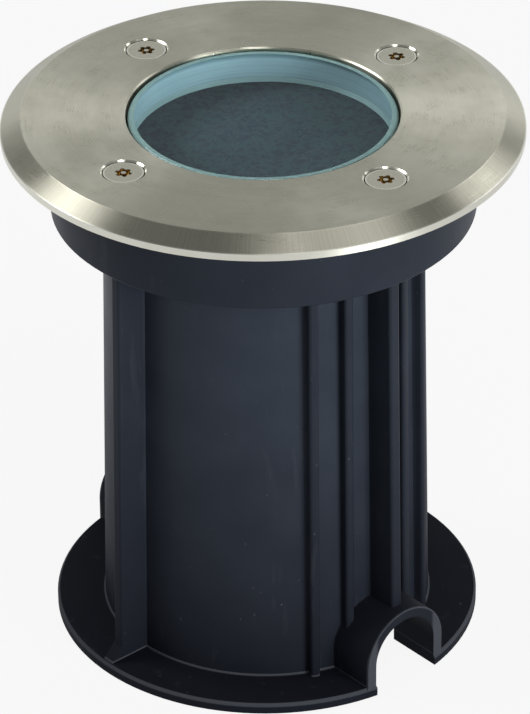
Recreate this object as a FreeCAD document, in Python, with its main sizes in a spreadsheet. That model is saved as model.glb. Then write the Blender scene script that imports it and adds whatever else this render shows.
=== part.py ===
import FreeCAD, Part
import math
import os
import re

import Sketcher

# In ground well light: a ribbed ground sleeve, a sealed lamp unit that drops into it, and a
# screwed-down steel bezel with a thick glass. Millimetres, +Z up, base flange on Z = 0, and
# the two cable tunnels along +X and -X.

os.makedirs("parts", exist_ok=True)

SIZES = {
    # ground sleeve: base flange
    "flange_width": 10.6,
    "flange_thickness": 2.4,
    "flange_edge": 0.5,
    # ground sleeve: drafted tube
    "tube_clearance": 1.0,
    "tube_wall": 2.2,
    "tube_draft": 1.8,
    "tube_root": 0.4,
    # ground sleeve: collar under the bezel
    "collar_wall": 2.3,
    "collar_depth": 17.2,
    "shelf_thickness": 2.5,
    "collar_edge": 0.4,
    # ground sleeve: four long fins
    "fin_base_depth": 7.1,
    "fin_top_depth": 6.9,
    "fin_thickness": 2.7,
    "fin_foot_margin": 0.6,
    "fin_foot_rise": 3.2,
    # ground sleeve: small ribs on each side of the two fins above the tunnels
    "rib_base_depth": 2.1,
    "rib_top_depth": 2.6,
    "rib_thickness": 2.1,
    "rib_pitch_angle": 12.5,
    "nose_edge": 0.7,
    # ground sleeve: cable tunnels
    "tunnel_half_width": 8.4,
    "tunnel_crown": 15.6,
    "tunnel_wall": 2.3,
    "tunnel_setback": 1.2,
    # bezel ring
    "bezel_overhang": 10.0,
    "bezel_thickness": 4.0,
    "bezel_rim": 1.5,
    "bezel_bevel_width": 4.3,
    "opening_margin": 3.8,
    "opening_edge": 0.3,
    # bezel screws, countersunk, with a six-lobe socket round a pin
    "screw_land": 4.0,
    "screw_head_radius": 4.25,
    "screw_head_sink": 0.35,
    "screw_shank_radius": 1.95,
    "screw_length": 13.0,
    "countersink_clearance": 0.55,
    "screw_hole_radius": 2.3,
    "socket_core_radius": 1.3,
    "socket_lobe_radius": 0.5,
    "socket_lobe_circle": 1.3,
    "socket_depth": 1.7,
    "socket_pin_radius": 0.55,
    # glass lens: a raised puck in the opening on a wider flange
    "glass_gap": 0.4,
    "glass_sink": 0.5,
    "glass_edge": 0.5,
    "glass_step": 4.8,
    "glass_flange_thickness": 3.5,
    # smoked disc bonded under the glass
    "disc_clearance": 0.6,
    "disc_thickness": 1.4,
    # gaskets
    "gasket_width": 4.2,
    "upper_gasket_thickness": 1.0,
    "lower_gasket_thickness": 1.5,
    # lamp housing
    "collar_clearance": 0.4,
    "housing_edge": 4.4,
    "seat_clearance": 0.7,
    "housing_flange_thickness": 8.0,
    "housing_skirt_wall": 2.2,
    "can_wall": 2.2,
    "can_draft": 1.4,
    "can_floor": 3.0,
    "screw_boss_radius": 4.2,
    "insert_radius": 3.0,
    "insert_length": 9.0,
    "insert_clearance": 0.15,
    "insert_hole_depth": 10.5,
    # lamp
    "lamp_air_gap": 4.0,
    "lamp_radius": 25.0,
    "lamp_room": 3.6,
    "lamp_rim_height": 3.5,
    "lamp_shell_height": 40.0,
    "lamp_shell_wall": 1.3,
    "lamp_neck_radius": 11.5,
    "lamp_neck_height": 5.0,
    "lamp_waist_radius": 18.5,
    "lamp_waist_height": 18.0,
    "lamp_fit": 0.1,
    "lamp_lens_thickness": 1.8,
    "lamp_lens_sink": 0.4,
    "lamp_base_radius": 9.8,
    "lamp_base_height": 6.0,
    "lamp_board_radius": 9.0,
    "lamp_board_thickness": 1.6,
    "emitter_radius": 5.0,
    "emitter_height": 1.2,
    "pin_spacing": 10.0,
    "pin_stem_radius": 1.4,
    "pin_head_radius": 2.4,
    "pin_head_height": 2.2,
    "pin_length": 6.5,
    # lampholder
    "holder_clearance": 0.3,
    "holder_radius": 15.0,
    "holder_height": 9.7,
    "holder_lip": 1.8,
    "holder_neck_radius": 8.0,
    "holder_neck_height": 3.0,
    "slot_angle": 20.0,
    "contact_length": 5.0,
    "contact_width": 3.4,
    "contact_thickness": 1.0,
    "holder_screw_circle": 12.0,
    # bracket
    "bracket_thickness": 1.5,
    "bracket_width": 22.0,
    "bracket_end_clearance": 0.6,
    "post_height": 15.0,
    "post_radius": 3.2,
    "post_gap": 1.5,
    "small_screw_radius": 1.5,
    "small_screw_head_radius": 2.7,
    "small_screw_head_height": 1.8,
    "small_screw_length": 8.0,
    "small_screw_clearance": 0.1,
    # terminal block
    "block_length": 24.0,
    "block_width": 11.0,
    "block_height": 10.0,
    "block_gap": 2.1,
    "pole_pitch": 8.0,
    "clamp_radius": 2.1,
    "clamp_bore_radius": 1.4,
    "clamp_recess": 0.8,
    "clamp_clearance": 0.1,
    "clamp_screw_radius": 1.5,
    "clamp_axis_height": 4.0,
    "clamp_screw_sink": 0.6,
    "block_screw_radius": 1.1,
    "block_screw_head_radius": 1.9,
    "block_screw_head_height": 1.2,
    "block_screw_bite": 2.0,
    # leads from the lampholder's neck to the outer poles
    "lead_radius": 0.9,
    "lead_bend_radius": 3.0,
    "lead_exit_across": 5.5,
    "lead_exit_depth": 4.0,
    "lead_exit_drop": 4.2,
    "lead_turn_depth": 9.6,
    "lead_end_depth": 15.5,
    # inlet gland
    "gland_thread_radius": 7.9,
    "gland_thread_clearance": 0.1,
    "gland_inside_length": 5.0,
    "gland_washer_radius": 10.6,
    "gland_washer_thickness": 1.0,
    "gland_flats": 20.0,
    "gland_body_height": 4.0,
    "gland_spigot_radius": 7.0,
    "gland_spigot_length": 8.0,
    "gland_bore_radius": 4.4,
    "grommet_radius": 5.6,
    "grommet_bore_radius": 3.5,
    "grommet_length": 7.0,
    "grommet_drop": 2.2,
    "locknut_flats": 21.0,
    "locknut_height": 4.0,
    "clamp_nut_flats": 19.0,
    "clamp_nut_height": 12.0,
    "clamp_nut_gap": 0.5,
    "clamp_nut_face_radius": 7.6,
    "clamp_nut_dome": 3.5,
    "clamp_nut_mouth_radius": 5.0,
    "clamp_nut_wall": 2.0,
    "clamp_nut_running": 0.08,
    # free height under the clamp nut, where the supply cable turns to a tunnel
    "cable_space": 14.2,
}

doc = FreeCAD.newDocument("WellLight")
sheet = doc.addObject("Spreadsheet::Sheet", "Sizes")
for row, (alias, value) in enumerate(SIZES.items(), start=1):
    sheet.set(f"A{row}", alias.replace("_", " "))
    sheet.set(f"B{row}", str(value))
    sheet.setAlias(f"B{row}", alias)
doc.recompute()


def total(*terms):
    """A sum of expression texts, kept in brackets."""
    return "(" + " + ".join(terms) + ")"


def less(first, *terms):
    """The first expression text less the others, kept in brackets."""
    return "(" + " - ".join((first,) + terms) + ")"


# Heights, from the base upwards
NUT_BOTTOM = "cable_space"
NUT_TOP = total(NUT_BOTTOM, "clamp_nut_height")
GLAND_BOTTOM = total(NUT_TOP, "clamp_nut_gap")
GLAND_TOP = total(GLAND_BOTTOM, "gland_body_height")
FLOOR = total(GLAND_TOP, "gland_washer_thickness")
FLOOR_TOP = total(FLOOR, "can_floor")
BRACKET = total(FLOOR_TOP, "post_height")
HOLDER = total(BRACKET, "bracket_thickness")
HOLDER_TOP = total(HOLDER, "holder_height")
LAMP = total(HOLDER_TOP, "holder_clearance")
LAMP_SHELL = total(LAMP, "lamp_base_height")
LAMP_TOP = total(LAMP_SHELL, "lamp_shell_height")
DISC = total(LAMP_TOP, "lamp_air_gap")
GLASS = total(DISC, "disc_thickness")
SEAT = less(GLASS, "lower_gasket_thickness")
GLASS_FLANGE = total(GLASS, "glass_flange_thickness")
TOP = total(GLASS_FLANGE, "upper_gasket_thickness")
BEZEL_TOP = total(TOP, "bezel_thickness")
GLASS_TOP = less(BEZEL_TOP, "glass_sink")
COLLAR = less(TOP, "collar_depth")
SHELF = total(COLLAR, "shelf_thickness")

# Radii, from the lamp outwards
OPENING = total("lamp_radius", "opening_margin")
PUCK = less(OPENING, "glass_gap")
GLASS_FLANGE_RADIUS = total(PUCK, "glass_step")
SEAT_RADIUS = total(GLASS_FLANGE_RADIUS, "seat_clearance")
SCREW_CIRCLE = total(SEAT_RADIUS, "screw_land")
HOUSING = total(SCREW_CIRCLE, "housing_edge")
COLLAR_BORE = total(HOUSING, "collar_clearance")
COLLAR_RADIUS = total(COLLAR_BORE, "collar_wall")
COUNTERSINK = total("screw_head_radius", "countersink_clearance")
BEZEL_RADIUS = total(COLLAR_RADIUS, "bezel_overhang")
CAN_BORE_TOP = total("lamp_radius", "lamp_room")
CAN_TOP = total(CAN_BORE_TOP, "can_wall")
CAN_BASE = less(CAN_TOP, "can_draft")
CAN_BORE_BASE = less(CAN_BASE, "can_wall")
DISC_RADIUS = less(CAN_BORE_TOP, "disc_clearance")
TUBE_BORE_TOP = total(CAN_TOP, "tube_clearance")
TUBE_BORE_BASE = total(TUBE_BORE_TOP, "tube_draft")
TUBE_TOP = total(TUBE_BORE_TOP, "tube_wall")
TUBE_BASE = total(TUBE_BORE_BASE, "tube_wall")
FLANGE_RADIUS = total(TUBE_BASE, "flange_width")
GLAND_HOLE = total("gland_thread_radius", "gland_thread_clearance")
POST_CIRCLE = less(CAN_BORE_BASE, "post_radius", "post_gap")
BLOCK_NEAR_EDGE = total("locknut_flats / 2", "block_gap")
BLOCK_MIDDLE = less("0", BLOCK_NEAR_EDGE, "block_width / 2")


def with_sheet(text):
    """An expression in which each size is written as a cell of the sheet."""
    return re.sub(r"[a-z_]+", lambda word: "Sizes." + word[0] if word[0] in SIZES else word[0], text)


def bind(thing, prop, text):
    """Bind one property to an expression written with the names of the sheet."""
    thing.setExpression(prop, with_sheet(text))


def place(thing, x="0", y="0", z="0"):
    """Bind where a piece stands."""
    bind(thing, "Placement.Base.x", x)
    bind(thing, "Placement.Base.y", y)
    bind(thing, "Placement.Base.z", z)


def new_body(name):
    return doc.addObject("PartDesign::Body", name)


def new_sketch(body, name, role, lift=None, turn=None):
    """A sketch on one of its body's own planes, lifted off it or turned about its upright."""
    sketch = body.newObject("Sketcher::SketchObject", name)
    plane = [item for item in body.Origin.OriginFeatures if item.Role == role][0]
    sketch.AttachmentSupport = [(plane, "")]
    sketch.MapMode = "FlatFace"
    if lift:
        bind(sketch, "AttachmentOffset.Base.z", lift)
    if turn:
        upright = FreeCAD.Vector(0, 1, 0)
        sketch.AttachmentOffset = FreeCAD.Placement(FreeCAD.Vector(), FreeCAD.Rotation(upright, 1))
        bind(sketch, "AttachmentOffset.Rotation.Angle", turn)
    return sketch


def draw_outline(sketch, points):
    """A closed outline whose corners are (across, up) pairs of expressions."""
    count = len(points)
    corners = []
    for step in range(count):
        angle = 2 * math.pi * step / count
        corners.append(FreeCAD.Vector(math.cos(angle), math.sin(angle), 0))
    for step in range(count):
        sketch.addGeometry(Part.LineSegment(corners[step], corners[(step + 1) % count]), False)
    for step in range(count):
        sketch.addConstraint(Sketcher.Constraint("Coincident", step, 2, (step + 1) % count, 1))
    for step, (across, up) in enumerate(points):
        for kind, text in (("DistanceX", across), ("DistanceY", up)):
            index = sketch.addConstraint(Sketcher.Constraint(kind, -1, 1, step, 1, 1.0))
            bind(sketch, f"Constraints[{index}]", text)


def draw_circle(sketch, radius, across="0", up="0"):
    """A circle at (across, up)."""
    ring = sketch.addGeometry(Part.Circle(FreeCAD.Vector(1, 1, 0), FreeCAD.Vector(0, 0, 1), 1), False)
    for kind, text in (("DistanceX", across), ("DistanceY", up)):
        index = sketch.addConstraint(Sketcher.Constraint(kind, -1, 1, ring, 3, 1.0))
        bind(sketch, f"Constraints[{index}]", text)
    index = sketch.addConstraint(Sketcher.Constraint("Radius", ring, 1.0))
    bind(sketch, f"Constraints[{index}]", radius)


def draw_arch(sketch, half_width, crown, foot):
    """An upright arch: straight legs under a half circle that peaks at the crown."""
    spring = less(crown, half_width)
    arc = Part.ArcOfCircle(Part.Circle(FreeCAD.Vector(), FreeCAD.Vector(0, 0, 1), 1), 0, math.pi)
    right = Part.LineSegment(FreeCAD.Vector(1, -1, 0), FreeCAD.Vector(1, 0, 0))
    left = Part.LineSegment(FreeCAD.Vector(-1, 0, 0), FreeCAD.Vector(-1, -1, 0))
    base = Part.LineSegment(FreeCAD.Vector(-1, -1, 0), FreeCAD.Vector(1, -1, 0))
    for edge in (right, arc, left, base):
        sketch.addGeometry(edge, False)
    for ends in ((0, 2, 1, 1), (1, 2, 2, 1)):
        sketch.addConstraint(Sketcher.Constraint("Tangent", *ends))
    for ends in ((2, 2, 3, 1), (3, 2, 0, 1)):
        sketch.addConstraint(Sketcher.Constraint("Coincident", *ends))
    sketch.addConstraint(Sketcher.Constraint("Vertical", 0))
    sketch.addConstraint(Sketcher.Constraint("Vertical", 2))
    sketch.addConstraint(Sketcher.Constraint("Horizontal", 3))
    sketch.addConstraint(Sketcher.Constraint("PointOnObject", 1, 3, -2))
    radius = sketch.addConstraint(Sketcher.Constraint("Radius", 1, 1.0))
    bind(sketch, f"Constraints[{radius}]", half_width)
    height = sketch.addConstraint(Sketcher.Constraint("DistanceY", -1, 1, 1, 3, 0.5))
    bind(sketch, f"Constraints[{height}]", spring)
    depth = sketch.addConstraint(Sketcher.Constraint("DistanceY", 0, 1, -1, 1, 1.0))
    bind(sketch, f"Constraints[{depth}]", foot)


def revolve(body, name, points):
    """A turned solid: an outline of (radius, height) pairs spun about the body's upright."""
    sketch = new_sketch(body, name + "Outline", "XZ_Plane")
    draw_outline(sketch, points)
    feature = body.newObject("PartDesign::Revolution", name)
    feature.Profile = sketch
    feature.ReferenceAxis = (sketch, ["V_Axis"])
    feature.Angle = 360
    return feature


def pad(body, name, sketch, length, reverse=False, symmetric=False):
    feature = body.newObject("PartDesign::Pad", name)
    feature.Profile = sketch
    feature.Reversed = reverse
    if symmetric:
        feature.SideType = "Symmetric"
    bind(feature, "Length", length)
    return feature


def pocket(body, name, sketch, depth, reverse=False):
    feature = body.newObject("PartDesign::Pocket", name)
    feature.Profile = sketch
    feature.Reversed = reverse
    bind(feature, "Length", depth)
    return feature


def polar(body, name, originals, count):
    """The same features again, evenly spaced about the body's upright."""
    feature = body.newObject("PartDesign::PolarPattern", name)
    feature.Originals = originals
    upright = [item for item in body.Origin.OriginFeatures if item.Role == "Z_Axis"][0]
    feature.Axis = (upright, [""])
    feature.Angle = 360
    feature.Occurrences = count
    body.Tip = feature
    return feature


def upright_edges(feature, beyond, longer):
    """A feature's straight upright edges that lie beyond a radius and are longer than a length."""
    doc.recompute()
    radius, length = (float(feature.evalExpression(with_sheet(text))) for text in (beyond, longer))
    names = []
    for number, edge in enumerate(feature.Shape.Edges, start=1):
        low, top = sorted((edge.Vertexes[0].Point, edge.Vertexes[-1].Point), key=lambda point: point.z)
        straight = edge.Curve.TypeId == "Part::GeomLine"
        if straight and top.z - low.z > length and math.hypot(top.x, top.y) > radius:
            names.append(f"Edge{number}")
    return names


def fillet(body, name, feature, edges, radius):
    rounded = body.newObject("PartDesign::Fillet", name)
    rounded.Base = (feature, edges)
    bind(rounded, "Radius", radius)
    body.Tip = rounded
    return rounded


def turned(name, points):
    """A body that is one turned solid."""
    body = new_body(name)
    revolve(body, name + "Turned", points)
    return body


def cylinder(name, radius, height, x="0", y="0", z="0"):
    item = doc.addObject("Part::Cylinder", name)
    bind(item, "Radius", radius)
    bind(item, "Height", height)
    place(item, x, y, z)
    return item


def lying_cylinder(name, radius, length, x, y, z):
    """A cylinder along +Y from (x, y, z)."""
    item = cylinder(name, radius, length)
    item.Placement = FreeCAD.Placement(FreeCAD.Vector(), FreeCAD.Rotation(FreeCAD.Vector(1, 0, 0), -90))
    place(item, x, y, z)
    return item


def cone(name, low_radius, high_radius, height, x="0", y="0", z="0"):
    item = doc.addObject("Part::Cone", name)
    bind(item, "Radius1", low_radius)
    bind(item, "Radius2", high_radius)
    bind(item, "Height", height)
    place(item, x, y, z)
    return item


def block(name, length, width, height, x, y, z):
    """A box whose lowest corner is at (x, y, z)."""
    item = doc.addObject("Part::Box", name)
    bind(item, "Length", length)
    bind(item, "Width", width)
    bind(item, "Height", height)
    place(item, x, y, z)
    return item


def prism(name, flats, height, z):
    """A hexagonal prism, measured across its flats."""
    item = doc.addObject("Part::Prism", name)
    item.Polygon = 6
    bind(item, "Circumradius", f"{flats} / (2 * cos(30))")
    bind(item, "Height", height)
    place(item, z=z)
    return item


def fuse(name, items):
    item = doc.addObject("Part::MultiFuse", name)
    item.Shapes = items
    return item


def cut(name, base, tools):
    item = doc.addObject("Part::Cut", name)
    item.Base = base
    item.Tool = tools[0] if len(tools) == 1 else fuse(name + "Tools", tools)
    return item


def common(name, first, second):
    item = doc.addObject("Part::Common", name)
    item.Base = first
    item.Tool = second
    return item


def around(name, source, count):
    """One node of several separate solids: the source, repeated about the upright."""
    doc.recompute()
    solids = []
    for step in range(count):
        copy = source.Shape.copy()
        copy.rotate(FreeCAD.Vector(), FreeCAD.Vector(0, 0, 1), 360.0 * step / count)
        solids.append(copy)
    item = doc.addObject("Part::Feature", name)
    item.Shape = Part.makeCompound(solids)
    item.Placement = FreeCAD.Placement()
    return item


def in_row(name, source, shifts):
    """One node of several separate solids: the source, repeated along X."""
    doc.recompute()
    solids = []
    for shift in shifts:
        copy = source.Shape.copy()
        copy.translate(FreeCAD.Vector(shift, 0, 0))
        solids.append(copy)
    item = doc.addObject("Part::Feature", name)
    item.Shape = Part.makeCompound(solids)
    item.Placement = FreeCAD.Placement()
    return item


NODES = {}


def keep(node, item):
    """Give a sub-part its own label, which names its file."""
    item.Label = node
    NODES[node] = item
    return item


def build_ground_sleeve():
    sleeve = new_body("Sleeve")
    inside = less(TUBE_BORE_TOP, "tube_wall")
    revolve(sleeve, "SleeveShell", [
        (TUBE_BORE_BASE, "0"),
        (FLANGE_RADIUS, "0"),
        (FLANGE_RADIUS, less("flange_thickness", "flange_edge")),
        (less(FLANGE_RADIUS, "flange_edge"), "flange_thickness"),
        (total(TUBE_BASE, "tube_root"), "flange_thickness"),
        (TUBE_BASE, total("flange_thickness", "tube_root")),
        (TUBE_TOP, COLLAR),
        (less(COLLAR_RADIUS, "collar_edge"), COLLAR),
        (COLLAR_RADIUS, total(COLLAR, "collar_edge")),
        (COLLAR_RADIUS, TOP),
        (COLLAR_BORE, TOP),
        (COLLAR_BORE, SHELF),
        (TUBE_BORE_TOP, SHELF),
    ])

    # Four long fins, each with a foot that slants out over the flange
    fin_outline = new_sketch(sleeve, "FinOutline", "XZ_Plane")
    draw_outline(fin_outline, [
        (inside, "flange_thickness / 2"),
        (less(FLANGE_RADIUS, "fin_foot_margin"), "flange_thickness / 2"),
        (less(FLANGE_RADIUS, "fin_foot_margin"), "flange_thickness"),
        (total(TUBE_BASE, "fin_base_depth"), total("flange_thickness", "fin_foot_rise")),
        (total(TUBE_TOP, "fin_top_depth"), total(COLLAR, "shelf_thickness / 2")),
        (inside, total(COLLAR, "shelf_thickness / 2")),
    ])
    fin = pad(sleeve, "Fin", fin_outline, "fin_thickness", symmetric=True)
    polar(sleeve, "Fins", [fin], 4)

    # Small ribs, two on each side of the fins above the tunnels
    ribs = []
    for place_in_row in (-2, -1, 1, 2):
        name = f"Rib{len(ribs) + 1}"
        turn = f"{place_in_row} * rib_pitch_angle"
        outline = new_sketch(sleeve, name + "Outline", "XZ_Plane", turn=turn)
        draw_outline(outline, [
            (inside, "flange_thickness / 2"),
            (total(TUBE_BASE, "rib_base_depth"), "flange_thickness / 2"),
            (total(TUBE_TOP, "rib_top_depth"), total(COLLAR, "shelf_thickness / 2")),
            (inside, total(COLLAR, "shelf_thickness / 2")),
        ])
        ribs.append(pad(sleeve, name, outline, "rib_thickness", symmetric=True))
    polar(sleeve, "Ribs", ribs, 2)

    # Two arched cable tunnels
    vault_outline = new_sketch(sleeve, "VaultOutline", "YZ_Plane", lift=inside)
    outer_half = total("tunnel_half_width", "tunnel_wall")
    draw_arch(vault_outline, outer_half, total("tunnel_crown", "tunnel_wall"), "0")
    vault = pad(sleeve, "Vault", vault_outline, less(FLANGE_RADIUS, "tunnel_setback", inside))
    polar(sleeve, "Vaults", [vault], 2)
    way_start = total(FLANGE_RADIUS, "1")
    way_outline = new_sketch(sleeve, "CableWayOutline", "YZ_Plane", lift=way_start)
    draw_arch(way_outline, "tunnel_half_width", "tunnel_crown", "1")
    way = pocket(sleeve, "CableWay", way_outline, f"{FLANGE_RADIUS} / 2")
    polar(sleeve, "CableWays", [way], 2)

    # The drafted bore, open at both ends
    bore_outline = new_sketch(sleeve, "BoreOutline", "XZ_Plane")
    draw_outline(bore_outline, [
        ("0", "0"),
        (TUBE_BORE_BASE, "0"),
        (TUBE_BORE_TOP, SHELF),
        ("0", SHELF),
    ])
    bore = sleeve.newObject("PartDesign::Groove", "Bore")
    bore.Profile = bore_outline
    bore.ReferenceAxis = (bore_outline, ["V_Axis"])
    bore.Angle = 360

    # The long outer edges of the fins and ribs are rounded
    noses = upright_edges(bore, beyond=total(TUBE_TOP, "rib_top_depth / 2"), longer=f"({COLLAR}) / 2")
    fillet(sleeve, "Noses", bore, noses, "nose_edge")
    return sleeve


def build_bezel_ring():
    ring = new_body("Bezel")
    revolve(ring, "BezelShape", [
        (OPENING, TOP),
        (BEZEL_RADIUS, TOP),
        (BEZEL_RADIUS, total(TOP, "bezel_rim")),
        (less(BEZEL_RADIUS, "bezel_bevel_width"), BEZEL_TOP),
        (total(OPENING, "opening_edge"), BEZEL_TOP),
        (OPENING, less(BEZEL_TOP, "opening_edge")),
    ])
    # Countersunk holes: a plain bore and a right-angled cone above it
    cone_depth = less(COUNTERSINK, "screw_hole_radius")
    hole_outline = new_sketch(ring, "BezelHoleOutline", "XY_Plane", lift=BEZEL_TOP)
    draw_circle(hole_outline, "screw_hole_radius", across=SCREW_CIRCLE)
    hole = pocket(ring, "BezelHole", hole_outline, "2 * bezel_thickness")
    holes = polar(ring, "BezelHoles", [hole], 4)
    tools = []
    for step in range(4):
        angle = f"{90 * step}"
        tools.append(cone(
            f"Countersink{step + 1}", "screw_hole_radius", COUNTERSINK, cone_depth,
            f"{SCREW_CIRCLE} * cos({angle})", f"{SCREW_CIRCLE} * sin({angle})", less(BEZEL_TOP, cone_depth)))
    ring.Tip = holes
    return cut("BezelWithCountersinks", ring, tools)


def build_bezel_screws():
    head_top = less(BEZEL_TOP, "screw_head_sink")
    head_height = less("screw_head_radius", "screw_shank_radius")
    head = cone(
        "ScrewHead", "screw_shank_radius", "screw_head_radius", head_height,
        SCREW_CIRCLE, "0", less(head_top, head_height))
    shank = cylinder(
        "ScrewShank", "screw_shank_radius", less("screw_length", "socket_depth"),
        SCREW_CIRCLE, "0", less(head_top, "screw_length"))
    socket_floor = less(head_top, "socket_depth")
    hollow = [cylinder("SocketCore", "socket_core_radius", "socket_depth", SCREW_CIRCLE, "0", socket_floor)]
    for step in range(6):
        angle = f"{60 * step}"
        hollow.append(cylinder(
            f"SocketLobe{step + 1}", "socket_lobe_radius", "socket_depth",
            f"{SCREW_CIRCLE} + socket_lobe_circle * cos({angle})", f"socket_lobe_circle * sin({angle})",
            socket_floor))
    pin = cylinder("SocketPin", "socket_pin_radius", "socket_depth", SCREW_CIRCLE, "0", socket_floor)
    socket = cut("SocketHollow", fuse("SocketShape", hollow), [pin])
    screw = cut("BezelScrew", fuse("ScrewBlank", [head, shank]), [socket])
    return around("BezelScrews", screw, 4)


def build_glass_lens():
    return turned("Glass", [
        ("0", GLASS),
        (GLASS_FLANGE_RADIUS, GLASS),
        (GLASS_FLANGE_RADIUS, GLASS_FLANGE),
        (PUCK, GLASS_FLANGE),
        (PUCK, less(GLASS_TOP, "glass_edge")),
        (less(PUCK, "glass_edge"), GLASS_TOP),
        ("0", GLASS_TOP),
    ])


def build_gasket(name, bottom, thickness):
    outer = cylinder(name + "Outer", GLASS_FLANGE_RADIUS, thickness, z=bottom)
    inner = cylinder(name + "Inner", less(GLASS_FLANGE_RADIUS, "gasket_width"), thickness, z=bottom)
    return cut(name, outer, [inner])


def build_lamp_housing():
    housing = new_body("Housing")
    flange_bottom = less(TOP, "housing_flange_thickness")
    skirt_bore = less(HOUSING, "housing_skirt_wall")
    revolve(housing, "HousingShell", [
        (GLAND_HOLE, FLOOR),
        (CAN_BASE, FLOOR),
        (CAN_TOP, flange_bottom),
        (skirt_bore, flange_bottom),
        (skirt_bore, SHELF),
        (HOUSING, SHELF),
        (HOUSING, TOP),
        (SEAT_RADIUS, TOP),
        (SEAT_RADIUS, SEAT),
        (CAN_BORE_TOP, SEAT),
        (CAN_BORE_BASE, FLOOR_TOP),
        (GLAND_HOLE, FLOOR_TOP),
    ])

    # Bosses under the flange, one below each bezel screw
    boss_outline = new_sketch(housing, "BossOutline", "XY_Plane", lift=SHELF)
    draw_circle(boss_outline, "screw_boss_radius", across=SCREW_CIRCLE)
    boss = pad(housing, "Boss", boss_outline, f"({flange_bottom} + {SEAT}) / 2 - {SHELF}")
    polar(housing, "Bosses", [boss], 4)
    insert_outline = new_sketch(housing, "InsertHoleOutline", "XY_Plane", lift=TOP)
    draw_circle(insert_outline, "insert_radius", across=SCREW_CIRCLE)
    insert_hole = pocket(housing, "InsertHole", insert_outline, "insert_hole_depth")
    polar(housing, "InsertHoles", [insert_hole], 4)

    # Two posts that carry the lampholder's bracket
    post_outline = new_sketch(housing, "PostOutline", "XY_Plane", lift=total(FLOOR, "can_floor / 2"))
    draw_circle(post_outline, "post_radius", across=POST_CIRCLE)
    post = pad(housing, "Post", post_outline, less(BRACKET, FLOOR, "can_floor / 2"))
    polar(housing, "Posts", [post], 2)
    pilot_outline = new_sketch(housing, "PilotOutline", "XY_Plane", lift=BRACKET)
    draw_circle(pilot_outline, total("small_screw_radius", "small_screw_clearance"), across=POST_CIRCLE)
    pilot = pocket(housing, "Pilot", pilot_outline, "small_screw_length")
    polar(housing, "Pilots", [pilot], 2)

    # Blind holes for the terminal block's screws
    block_outline = new_sketch(housing, "BlockHoleOutline", "XY_Plane", lift=FLOOR_TOP)
    for side in ("0 - pole_pitch / 2", "pole_pitch / 2"):
        draw_circle(block_outline, total("block_screw_radius", "small_screw_clearance"), side, BLOCK_MIDDLE)
    block_holes = pocket(housing, "BlockHoles", block_outline, "block_screw_bite")
    housing.Tip = block_holes
    return housing


def build_threaded_inserts():
    bottom = less(TOP, "insert_length")
    outer = cylinder("InsertOuter", "insert_radius", "insert_length", SCREW_CIRCLE, "0", bottom)
    bore = total("screw_shank_radius", "insert_clearance")
    inner = cylinder("InsertBore", bore, "insert_length", SCREW_CIRCLE, "0", bottom)
    return around("Inserts", cut("Insert", outer, [inner]), 4)


def build_bracket():
    reach = less(CAN_BORE_BASE, "bracket_end_clearance")
    strip = block(
        "BracketStrip", f"2 * {reach}", "bracket_width", "bracket_thickness",
        f"0 - {reach}", "0 - bracket_width / 2", BRACKET)
    bound = cylinder("BracketBound", reach, "bracket_thickness", z=BRACKET)
    neck = total("holder_neck_radius", "holder_clearance")
    holes = [cylinder("BracketNeckHole", neck, "bracket_thickness", z=BRACKET)]
    hole_radius = total("small_screw_radius", "small_screw_clearance")
    for circle in (POST_CIRCLE, "holder_screw_circle"):
        for side in ("", "0 - "):
            name = f"BracketHole{len(holes)}"
            holes.append(cylinder(name, hole_radius, "bracket_thickness", side + circle, "0", BRACKET))
    return cut("Bracket", common("BracketBlank", strip, bound), holes)


def build_small_screws(name, circle, head_bottom, shank_bottom):
    """A pair of pan-head screws, one on each side of the middle."""
    head = cylinder(
        name + "Head", "small_screw_head_radius", "small_screw_head_height", circle, "0", head_bottom)
    shank = cylinder(name + "Shank", "small_screw_radius", "small_screw_length", circle, "0", shank_bottom)
    return around(name, fuse(name + "One", [head, shank]), 2)


def arc_slot(name, half_width, bottom, height):
    """A slot that follows the lamp pins' circle from their locked place to their way out."""
    middle = "pin_spacing / 2"
    sector = cylinder(name + "Sector", total(middle, half_width), height, z=bottom)
    bind(sector, "Angle", "slot_angle")
    inner = cylinder(name + "Inner", less(middle, half_width), height, z=bottom)
    locked_end = cylinder(name + "LockedEnd", half_width, height, middle, "0", bottom)
    free_end = cylinder(
        name + "FreeEnd", half_width, height,
        f"{middle} * cos(slot_angle)", f"{middle} * sin(slot_angle)", bottom)
    return fuse(name, [cut(name + "Arc", sector, [inner]), locked_end, free_end])


CONTACT = less(LAMP, "pin_length", "holder_clearance", "contact_thickness")


def build_lampholder():
    disc = cylinder("HolderDisc", "holder_radius", "holder_height", z=HOLDER)
    neck_bottom = less(HOLDER, "holder_neck_height")
    neck = cylinder("HolderNeck", "holder_neck_radius", "holder_neck_height", z=neck_bottom)
    head_room = total("pin_head_radius", "holder_clearance")
    stem_room = total("pin_stem_radius", "holder_clearance")
    lip_bottom = less(HOLDER_TOP, "holder_lip")
    chamber = arc_slot("PinChamber", head_room, CONTACT, less(lip_bottom, CONTACT))
    lip_slot = arc_slot("PinSlot", stem_room, CONTACT, less(HOLDER_TOP, CONTACT))
    mouth = cylinder(
        "PinMouth", head_room, less(HOLDER_TOP, CONTACT),
        "pin_spacing / 2 * cos(slot_angle)", "pin_spacing / 2 * sin(slot_angle)", CONTACT)
    ways = around("PinWays", fuse("PinWay", [chamber, lip_slot, mouth]), 2)
    hole = cylinder(
        "HolderScrewHole", total("small_screw_radius", "small_screw_clearance"),
        "small_screw_length", "holder_screw_circle", "0", BRACKET)
    holes = around("HolderScrewHoles", hole, 2)
    return cut("Holder", fuse("HolderBlank", [disc, neck]), [ways, holes])


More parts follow.
